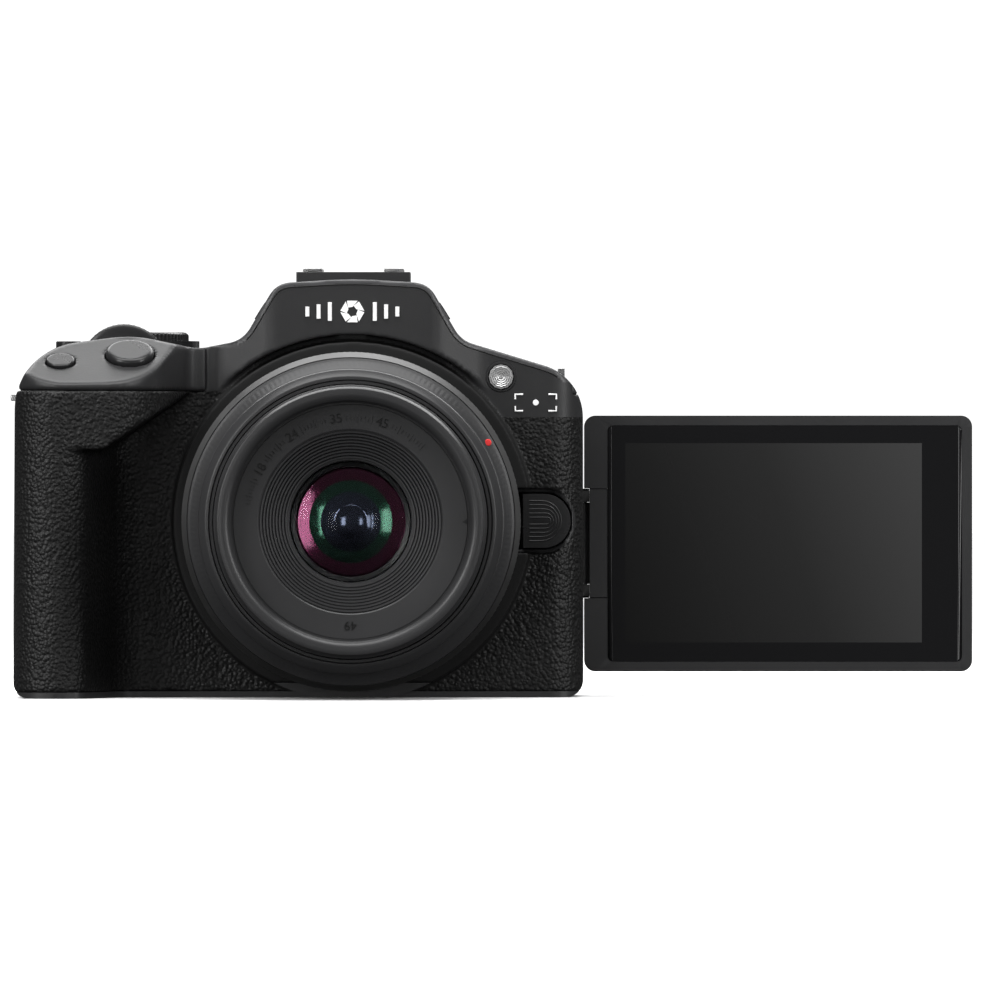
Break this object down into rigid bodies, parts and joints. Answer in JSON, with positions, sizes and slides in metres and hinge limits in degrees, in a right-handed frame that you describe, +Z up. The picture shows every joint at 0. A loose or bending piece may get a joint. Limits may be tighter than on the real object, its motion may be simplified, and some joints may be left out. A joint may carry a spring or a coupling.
{
  "type": "interchangeable lens camera",
  "caption": "Interchangeable-lens camera with a short zoom lens, hand grip, viewfinder hump with pop-up flash, hot shoe, and a side-hinged screen swung out to face forwards.",
  "frame": {"origin": "mouth of the tripod socket on the base plane, straight under the optical axis", "axes": "+X to the viewer's right of the front, where the opened screen is; +Y to the back, the lens points along -Y; +Z up"},
  "size_m": [0.1983, 0.0963, 0.088],
  "materials": {
    "body_plastic": "fine matte moulded",
    "leather": "pebbled leatherette",
    "soft_rubber": "matte",
    "lens_plastic": "fine matte, ribbed grip band",
    "button_plastic": "satin",
    "metal": "brushed",
    "dark_metal": "satin black",
    "contacts": "gold plated",
    "circuit": "solder mask",
    "battery": "matte",
    "lens_glass": "coated",
    "screen_glass": "gloss",
    "display": "dark display",
    "lamp": "clear facets over silver"
  },
  "bodies": {
    "camera_body": {"front_cover": "body_plastic", "top_cover": "body_plastic", "rear_cover": "body_plastic", "bottom_cover": "body_plastic", "grip_rubber": "leather", "front_leather": "leather", "thumb_rubber": "leather", "chassis_frame": "dark_metal", "mount_ring": "metal", "mount_contacts": "contacts", "shutter_unit": "dark_metal", "image_sensor": "circuit", "main_board": "circuit", "battery": "battery", "battery_box": "battery", "memory_card": "battery", "viewfinder": "dark_metal", "eyepiece_lens": "lens_glass", "eyecup": "soft_rubber", "hot_shoe_base": "body_plastic", "hot_shoe_rails": "metal", "hot_shoe_contacts": "contacts", "af_lamp": "lamp", "strap_lug_left": "metal", "strap_lug_right": "metal", "tripod_socket": "metal", "base_screws": "dark_metal", "hinge_bracket": "dark_metal", "hinge_pins": "metal", "lens_mount_plate": "metal", "lens_barrel": "lens_plastic", "rear_element": "lens_glass"},
    "hinge_arm": {"hinge_arm": "body_plastic"},
    "screen": {"screen_shell": "body_plastic", "screen_bezel": "body_plastic", "screen_glass": "screen_glass", "lcd_panel": "display"},
    "shutter_button": {"shutter_button": "button_plastic"},
    "iso_button": {"iso_button": "button_plastic"},
    "movie_button": {"movie_button": "button_plastic"},
    "main_dial": {"main_dial": "button_plastic"},
    "mode_dial": {"mode_dial": "button_plastic"},
    "power_lever": {"power_lever": "button_plastic"},
    "flash": {"flash_head": "body_plastic", "flash_window": "lamp"},
    "release_button": {"release_button": "button_plastic"},
    "battery_door": {"battery_door": "body_plastic"},
    "terminal_cover": {"terminal_cover": "soft_rubber"},
    "mic_cover": {"mic_cover": "soft_rubber"},
    "zoom_ring": {"zoom_ring": "lens_plastic"},
    "control_ring": {"control_ring": "lens_plastic"},
    "inner_barrel": {"inner_barrel": "lens_plastic", "front_element": "lens_glass"},
    "lock_button": {"lock_button": "button_plastic"},
    "focus_point_button": {"focus_point_button": "button_plastic"},
    "info_button": {"info_button": "button_plastic"},
    "menu_button": {"menu_button": "button_plastic"},
    "playback_button": {"playback_button": "button_plastic"},
    "cross_pad": {"cross_pad": "button_plastic"},
    "set_button": {"set_button": "button_plastic"}
  },
  "joints": [
    {"name": "screen_swing", "type": "hinge", "parent": "camera_body", "child": "hinge_arm", "pos_m": [0.0474, 0.01525, 0.0314], "axis": [0, 0, 1], "range_deg": [0, 180]},
    {"name": "screen_tilt", "type": "hinge", "parent": "hinge_arm", "child": "screen", "pos_m": [0.0545, 0.01525, 0.0314], "axis": [1, 0, 0], "range_deg": [-270, 0]},
    {"name": "shutter_press", "type": "slide", "parent": "camera_body", "child": "shutter_button", "axis": [0, 0.4696, -0.8829], "range_m": [0, 0.0012], "stiffness_N_per_m": 300, "springref_m": -0.0003},
    {"name": "iso_press", "type": "slide", "parent": "camera_body", "child": "iso_button", "axis": [0, 0.4696, -0.8829], "range_m": [0, 0.0005], "stiffness_N_per_m": 300, "springref_m": -0.0003},
    {"name": "movie_press", "type": "slide", "parent": "camera_body", "child": "movie_button", "axis": [0, 0, -1], "range_m": [0, 0.0005], "stiffness_N_per_m": 300, "springref_m": -0.0003},
    {"name": "main_dial_turn", "type": "hinge", "parent": "camera_body", "child": "main_dial", "pos_m": [-0.0468, -0.0145, 0.0674], "axis": [0, 1, 0], "continuous": true},
    {"name": "mode_dial_turn", "type": "hinge", "parent": "camera_body", "child": "mode_dial", "pos_m": [-0.0425, 0.006, 0.072], "axis": [0, 0, 1], "continuous": true},
    {"name": "power_lever_turn", "type": "hinge", "parent": "camera_body", "child": "power_lever", "pos_m": [-0.0425, 0.006, 0.072], "axis": [0, 0, 1], "range_deg": [0, 35]},
    {"name": "flash_popup", "type": "hinge", "parent": "camera_body", "child": "flash", "pos_m": [0, -0.0048, 0.0832], "axis": [-1, 0, 0], "range_deg": [0, 65]},
    {"name": "release_press", "type": "slide", "parent": "camera_body", "child": "release_button", "axis": [0, 1, 0], "range_m": [0, 0.0015], "stiffness_N_per_m": 300, "springref_m": -0.0003},
    {"name": "battery_door_open", "type": "hinge", "parent": "camera_body", "child": "battery_door", "pos_m": [-0.0489, -0.0024, 0.0012], "axis": [0, -1, 0], "range_deg": [0, 90]},
    {"name": "terminal_cover_open", "type": "hinge", "parent": "camera_body", "child": "terminal_cover", "pos_m": [-0.0684, 0.011, 0.03], "axis": [0, 0, -1], "range_deg": [0, 100]},
    {"name": "mic_cover_open", "type": "hinge", "parent": "camera_body", "child": "mic_cover", "pos_m": [0.04665, -0.007, 0.046], "axis": [0, 0, -1], "range_deg": [0, 100]},
    {"name": "zoom_turn", "type": "hinge", "parent": "camera_body", "child": "zoom_ring", "pos_m": [0, -0.042, 0.036], "axis": [0, -1, 0], "range_deg": [0, 60]},
    {"name": "inner_slide", "type": "slide", "parent": "camera_body", "child": "inner_barrel", "axis": [0, -1, 0], "range_m": [0, 0.012]},
    {"name": "control_turn", "type": "hinge", "parent": "camera_body", "child": "control_ring", "pos_m": [0, -0.057, 0.036], "axis": [0, -1, 0], "continuous": true},
    {"name": "lock_press", "type": "slide", "parent": "camera_body", "child": "lock_button", "axis": [0, -1, 0], "range_m": [0, 0.0006], "stiffness_N_per_m": 200, "springref_m": -0.0003},
    {"name": "focus_point_press", "type": "slide", "parent": "camera_body", "child": "focus_point_button", "axis": [0, -1, 0], "range_m": [0, 0.0006], "stiffness_N_per_m": 200, "springref_m": -0.0003},
    {"name": "info_press", "type": "slide", "parent": "camera_body", "child": "info_button", "axis": [0, -1, 0], "range_m": [0, 0.0006], "stiffness_N_per_m": 200, "springref_m": -0.0003},
    {"name": "menu_press", "type": "slide", "parent": "camera_body", "child": "menu_button", "axis": [0, -1, 0], "range_m": [0, 0.0006], "stiffness_N_per_m": 200, "springref_m": -0.0003},
    {"name": "playback_press", "type": "slide", "parent": "camera_body", "child": "playback_button", "axis": [0, -1, 0], "range_m": [0, 0.0006], "stiffness_N_per_m": 200, "springref_m": -0.0003},
    {"name": "cross_pad_press", "type": "slide", "parent": "camera_body", "child": "cross_pad", "axis": [0, -1, 0], "range_m": [0, 0.0006], "stiffness_N_per_m": 200, "springref_m": -0.0003},
    {"name": "set_press", "type": "slide", "parent": "camera_body", "child": "set_button", "axis": [0, -1, 0], "range_m": [0, 0.0006], "stiffness_N_per_m": 200, "springref_m": -0.0003}
  ],
  "couplings": [
    {"joint": "inner_slide", "follows": "zoom_turn", "m_per_rad": 0.01145}
  ]
}
